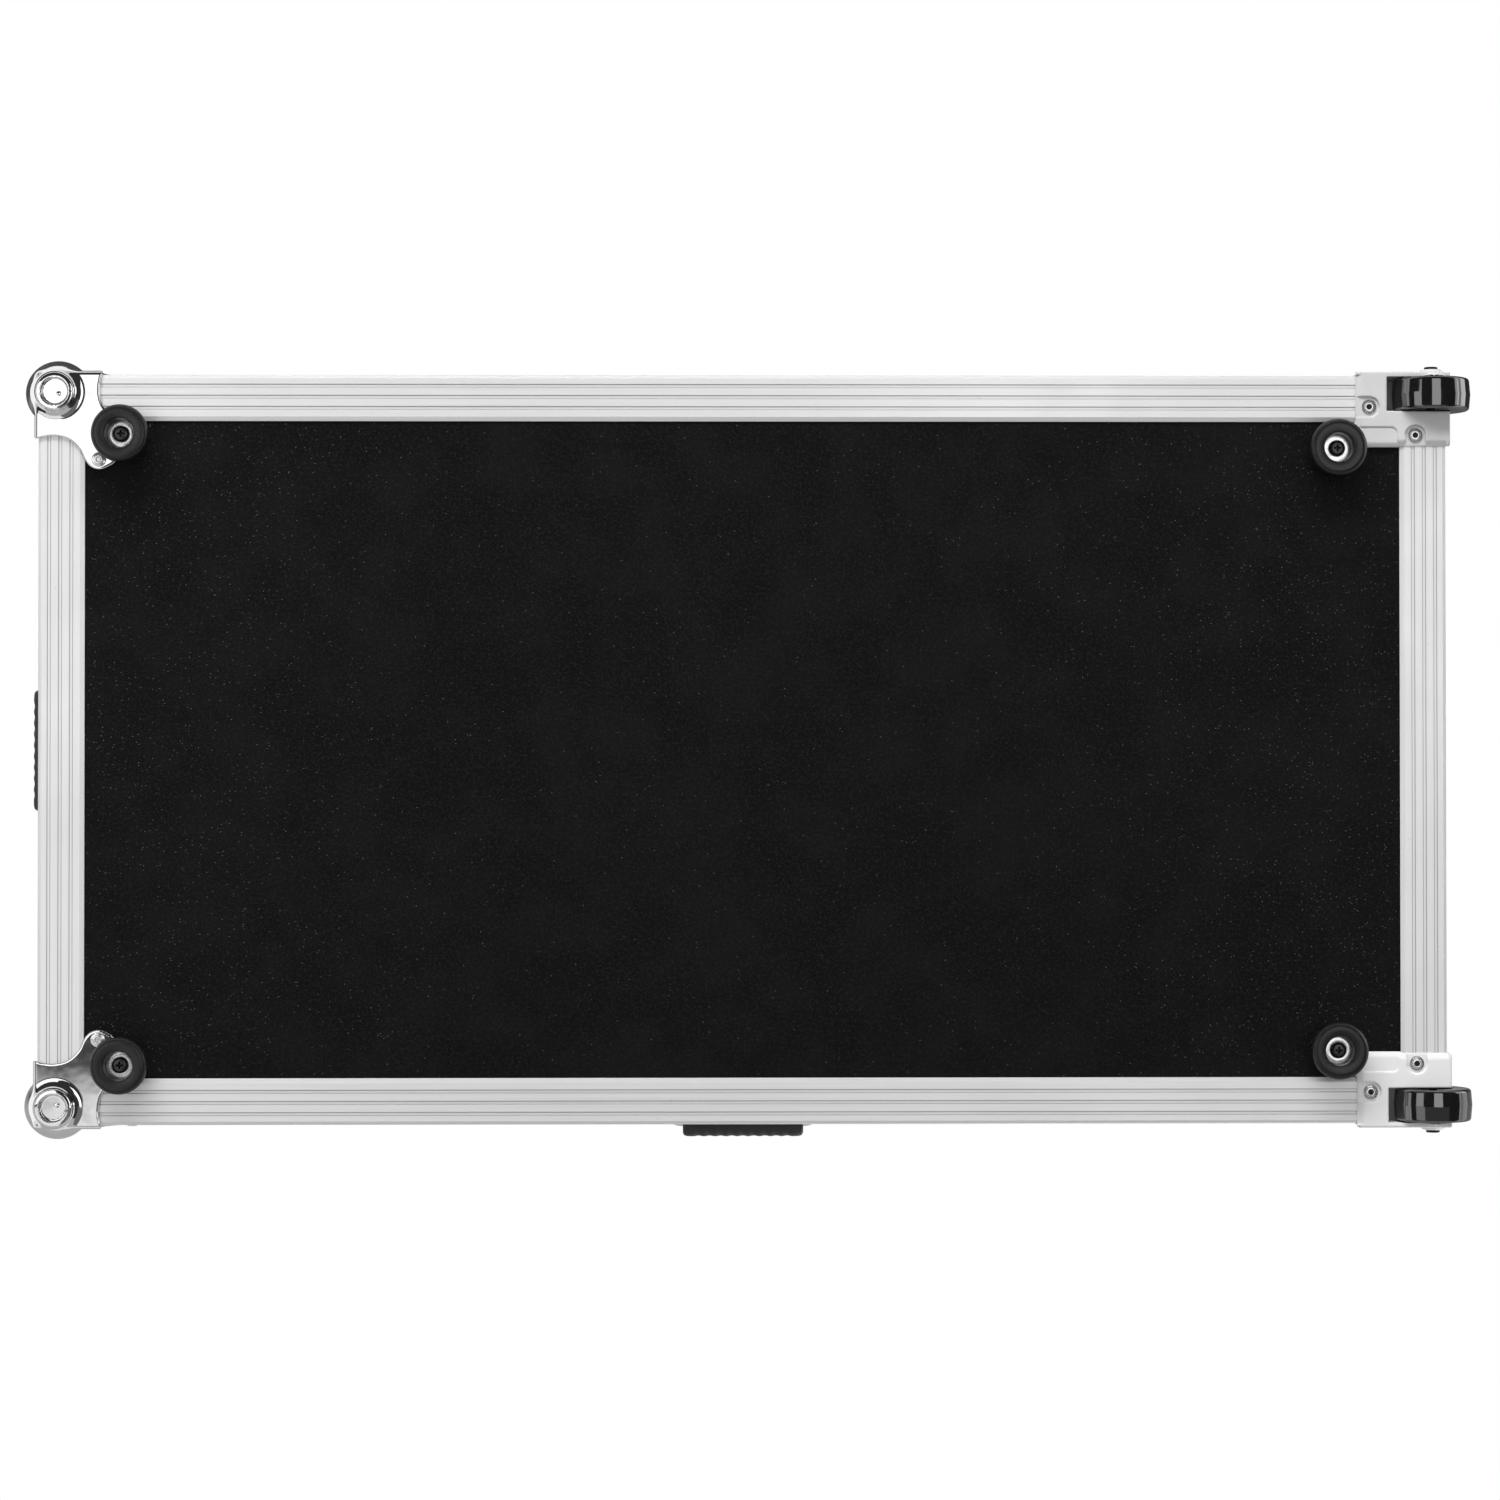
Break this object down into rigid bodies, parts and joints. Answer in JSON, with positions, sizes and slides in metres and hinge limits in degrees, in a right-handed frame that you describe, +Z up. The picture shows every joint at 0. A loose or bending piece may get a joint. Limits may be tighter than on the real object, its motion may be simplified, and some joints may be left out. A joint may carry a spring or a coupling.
{
  "type": "dj coffin case",
  "caption": "Long shallow flight case with black laminate panels in ribbed metal edging, ball corners, rubber feet, inset wheels, fold-out handles and a latched, hinged lid.",
  "frame": {"origin": "on the floor under the middle of the case, which lies on its rubber feet", "axes": "+X along the case to the towing-handle end, +Y to the hinged back, +Z up through the lid"},
  "size_m": [0.9709, 0.5231, 0.2895],
  "materials": {
    "edge_aluminium": "satin",
    "black_laminate": "matte",
    "bright_chrome": "polished",
    "grey_casting": "satin",
    "black_rubber": "matte",
    "gloss_wheel": "gloss",
    "black_steel": "satin",
    "charcoal_foam": "matte"
  },
  "bodies": {
    "base": {"bottom_panel": "black_laminate", "base_wall_front": "black_laminate", "base_wall_back": "black_laminate", "base_wall_left": "black_laminate", "base_wall_right": "black_laminate", "base_edge_front": "edge_aluminium", "base_edge_back": "edge_aluminium", "base_edge_left": "edge_aluminium", "base_edge_right": "edge_aluminium", "base_post_front_left": "edge_aluminium", "base_post_front_right": "edge_aluminium", "base_post_back_left": "edge_aluminium", "base_post_back_right": "edge_aluminium", "base_rim": "edge_aluminium", "ball_corner_base_front_right": "bright_chrome", "ball_corner_base_back_right": "bright_chrome", "wheel_housing_front": "grey_casting", "wheel_housing_back": "grey_casting", "axle_bolt_front": "black_steel", "axle_bolt_back": "black_steel", "foot_front_left": "black_rubber", "foot_front_right": "black_rubber", "foot_back_left": "black_rubber", "foot_back_right": "black_rubber", "partition_left": "black_laminate", "partition_right": "black_laminate", "bay_foam_left": "charcoal_foam", "bay_foam_right": "charcoal_foam", "hinge_left_base_leaf": "bright_chrome", "hinge_right_base_leaf": "bright_chrome", "latch_left_dish": "bright_chrome", "latch_right_dish": "bright_chrome", "handle_end_dish": "bright_chrome", "handle_front_dish": "bright_chrome"},
    "lid": {"lid_rim": "edge_aluminium", "lid_edge_frame": "edge_aluminium", "lid_top_panel": "black_laminate", "lid_wall_front": "black_laminate", "lid_wall_back": "black_laminate", "lid_wall_left": "black_laminate", "lid_wall_right": "black_laminate", "lid_foam": "charcoal_foam", "ball_corner_lid_front_left": "bright_chrome", "ball_corner_lid_front_right": "bright_chrome", "ball_corner_lid_back_left": "bright_chrome", "ball_corner_lid_back_right": "bright_chrome", "hinge_left_lid_leaf": "bright_chrome", "hinge_right_lid_leaf": "bright_chrome", "latch_left_keeper": "bright_chrome", "latch_right_keeper": "bright_chrome"},
    "front_wheel": {"wheel_front": "gloss_wheel"},
    "back_wheel": {"wheel_back": "gloss_wheel"},
    "end_bail": {"handle_end_bail": "black_rubber"},
    "front_bail": {"handle_front_bail": "black_rubber"},
    "left_spindle": {"latch_left_spindle": "bright_chrome"},
    "left_wing": {"latch_left_wing": "bright_chrome"},
    "left_hook": {"latch_left_hook": "bright_chrome"},
    "right_spindle": {"latch_right_spindle": "bright_chrome"},
    "right_wing": {"latch_right_wing": "bright_chrome"},
    "right_hook": {"latch_right_hook": "bright_chrome"}
  },
  "joints": [
    {"name": "lid_hinge", "type": "hinge", "parent": "base", "child": "lid", "pos_m": [0, 0.2559, 0.187], "axis": [-1, 0, 0], "range_deg": [0, 110]},
    {"name": "front_wheel_spin", "type": "hinge", "parent": "base", "child": "front_wheel", "pos_m": [-0.4617, -0.23765, 0.0303], "axis": [0, 1, 0], "continuous": true},
    {"name": "back_wheel_spin", "type": "hinge", "parent": "base", "child": "back_wheel", "pos_m": [-0.4617, 0.23765, 0.0303], "axis": [0, 1, 0], "continuous": true},
    {"name": "end_handle_swing", "type": "hinge", "parent": "base", "child": "end_bail", "pos_m": [0.465, 0, 0.1285], "axis": [0, -1, 0], "range_deg": [0, 100], "stiffness_Nm_per_rad": 0.3, "springref_deg": -11.46},
    {"name": "front_handle_swing", "type": "hinge", "parent": "base", "child": "front_bail", "pos_m": [0, -0.245, 0.1285], "axis": [-1, 0, 0], "range_deg": [0, 100], "stiffness_Nm_per_rad": 0.3, "springref_deg": -11.46},
    {"name": "left_latch_twist", "type": "hinge", "parent": "base", "child": "left_spindle", "pos_m": [-0.26, -0.25, 0.153], "axis": [0, 1, 0], "range_deg": [0, 180]},
    {"name": "left_wing_fold", "type": "hinge", "parent": "left_spindle", "child": "left_wing", "pos_m": [-0.26, -0.2483, 0.153], "axis": [-1, 0, 0], "range_deg": [0, 90]},
    {"name": "left_hook_tilt", "type": "hinge", "parent": "base", "child": "left_hook", "pos_m": [-0.26, -0.2443, 0.167], "axis": [-1, 0, 0], "range_deg": [0, 14]},
    {"name": "right_latch_twist", "type": "hinge", "parent": "base", "child": "right_spindle", "pos_m": [0.26, -0.25, 0.153], "axis": [0, 1, 0], "range_deg": [0, 180]},
    {"name": "right_wing_fold", "type": "hinge", "parent": "right_spindle", "child": "right_wing", "pos_m": [0.26, -0.2483, 0.153], "axis": [-1, 0, 0], "range_deg": [0, 90]},
    {"name": "right_hook_tilt", "type": "hinge", "parent": "base", "child": "right_hook", "pos_m": [0.26, -0.2443, 0.167], "axis": [-1, 0, 0], "range_deg": [0, 14]}
  ],
  "couplings": [
    {"joint": "left_hook_tilt", "follows": "left_latch_twist", "ratio": 0.0777},
    {"joint": "right_hook_tilt", "follows": "right_latch_twist", "ratio": 0.0777}
  ]
}
